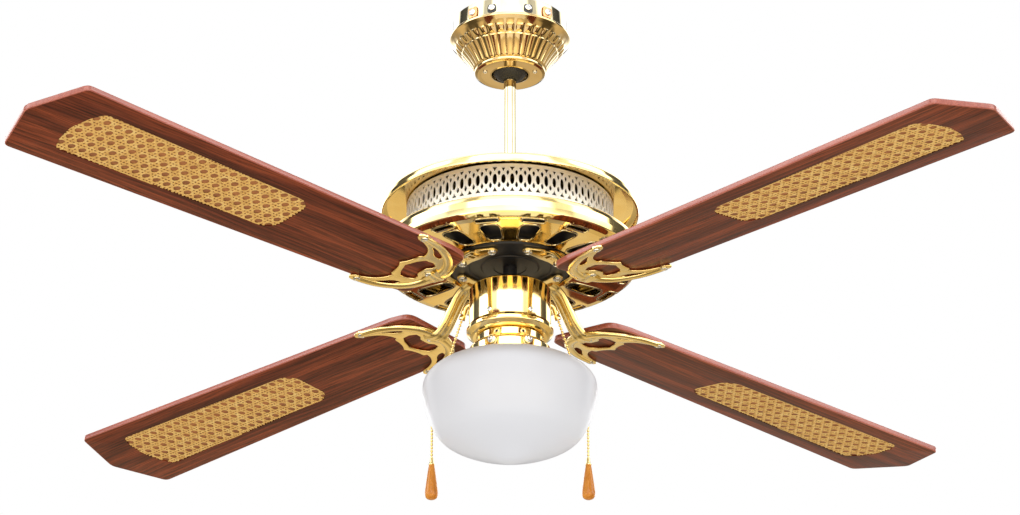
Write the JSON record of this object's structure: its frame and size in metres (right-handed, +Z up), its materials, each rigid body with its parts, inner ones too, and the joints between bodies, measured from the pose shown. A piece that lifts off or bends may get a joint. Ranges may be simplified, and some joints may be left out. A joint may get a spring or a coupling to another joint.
{
  "type": "ceiling fan with light",
  "caption": "Ceiling fan with cane-panelled wooden blades on pierced brass irons, a filigree brass motor housing, an opal glass globe light and two pull chains.",
  "frame": {"origin": "middle of the hanger bracket's face that lies against the ceiling", "axes": "+Z up along the fan's axis and the downrod; -Y towards the front, where the collar screws flank the middle line; the two pull chains hang to the left and right, a little behind the axis"},
  "size_m": [0.9856, 0.9856, 0.542],
  "materials": {
    "brass": "polished and lacquered",
    "cast_brass": "cast, satin to polished",
    "steel": "bright zinc",
    "copper": "copper coloured",
    "black_enamel": "satin black",
    "black_plastic": "matt black",
    "white_plastic": "matt white",
    "wood": "dark red-brown laminate, satin",
    "cane": "open woven cane",
    "fob_wood": "varnished orange-brown",
    "bulb_glass": "frosted white",
    "opal_glass": "opal white, gloss"
  },
  "bodies": {
    "ceiling_mount": {"hanger_bracket": "steel", "mounting_collar": "brass", "canopy": "brass", "collar_screw_1": "steel", "collar_screw_2": "steel", "collar_screw_3": "steel", "collar_screw_4": "steel", "canopy_screw_1": "copper", "canopy_screw_2": "copper", "canopy_screw_3": "copper", "canopy_screw_4": "copper"},
    "hanging_fan": {"hanger_ball": "black_plastic", "ball_pin": "steel", "downrod": "brass", "motor_coupling": "steel", "coupling_pin": "steel", "housing_top_cover": "brass", "filigree_band": "brass", "housing_bottom_cover": "brass", "motor_shaft": "steel", "motor_stator": "copper", "switch_housing": "brass", "switch_housing_screw_1": "steel", "switch_housing_screw_2": "steel", "switch_housing_screw_3": "steel", "switch_housing_screw_4": "steel", "trim_ring": "brass", "fan_switch": "white_plastic", "light_switch": "white_plastic", "capacitor": "black_plastic", "chain_nozzle_left": "brass", "chain_nozzle_right": "brass", "light_fitter": "brass", "lamp_socket": "white_plastic", "light_bulb": "bulb_glass", "glass_globe": "opal_glass"},
    "rotor": {"rotor_shell": "black_enamel", "upper_bearing": "steel", "lower_bearing": "steel", "blade_iron_1": "cast_brass", "blade_iron_2": "cast_brass", "blade_iron_3": "cast_brass", "blade_iron_4": "cast_brass", "blade_1": "wood", "blade_2": "wood", "blade_3": "wood", "blade_4": "wood", "cane_panel_1": "cane", "cane_panel_2": "cane", "cane_panel_3": "cane", "cane_panel_4": "cane"},
    "thumbscrew_1": {"thumbscrew_1": "steel"},
    "thumbscrew_2": {"thumbscrew_2": "steel"},
    "thumbscrew_3": {"thumbscrew_3": "steel"},
    "thumbscrew_4": {"thumbscrew_4": "steel"},
    "pull_left": {"pull_chain_left": "brass", "chain_fob_left": "fob_wood"},
    "pull_right": {"pull_chain_right": "brass", "chain_fob_right": "fob_wood"}
  },
  "joints": [
    {"name": "hanger_swing", "type": "hinge", "parent": "ceiling_mount", "child": "hanging_fan", "pos_m": [0, 0, -0.05], "axis": [0, 1, 0], "range_deg": [-10, 10]},
    {"name": "blade_spin", "type": "hinge", "parent": "hanging_fan", "child": "rotor", "pos_m": [0, 0, -0.336], "axis": [0, 0, 1], "continuous": true},
    {"name": "thumbscrew_turn_1", "type": "hinge", "parent": "hanging_fan", "child": "thumbscrew_1", "pos_m": [0.01902, -0.04079, -0.396], "axis": [0.4226, -0.9063, 0], "continuous": true},
    {"name": "thumbscrew_turn_2", "type": "hinge", "parent": "hanging_fan", "child": "thumbscrew_2", "pos_m": [-0.01902, -0.04079, -0.396], "axis": [-0.4226, -0.9063, 0], "continuous": true},
    {"name": "thumbscrew_turn_3", "type": "hinge", "parent": "hanging_fan", "child": "thumbscrew_3", "pos_m": [0.01902, 0.04079, -0.396], "axis": [0.4226, 0.9063, 0], "continuous": true},
    {"name": "thumbscrew_turn_4", "type": "hinge", "parent": "hanging_fan", "child": "thumbscrew_4", "pos_m": [-0.01902, 0.04079, -0.396], "axis": [-0.4226, 0.9063, 0], "continuous": true},
    {"name": "fan_chain_pull", "type": "slide", "parent": "hanging_fan", "child": "pull_left", "axis": [-0.3106, 0.1793, -0.9335], "range_m": [0, 0.008], "stiffness_N_per_m": 600},
    {"name": "light_chain_pull", "type": "slide", "parent": "hanging_fan", "child": "pull_right", "axis": [0.3106, 0.1793, -0.9335], "range_m": [0, 0.008], "stiffness_N_per_m": 600}
  ]
}
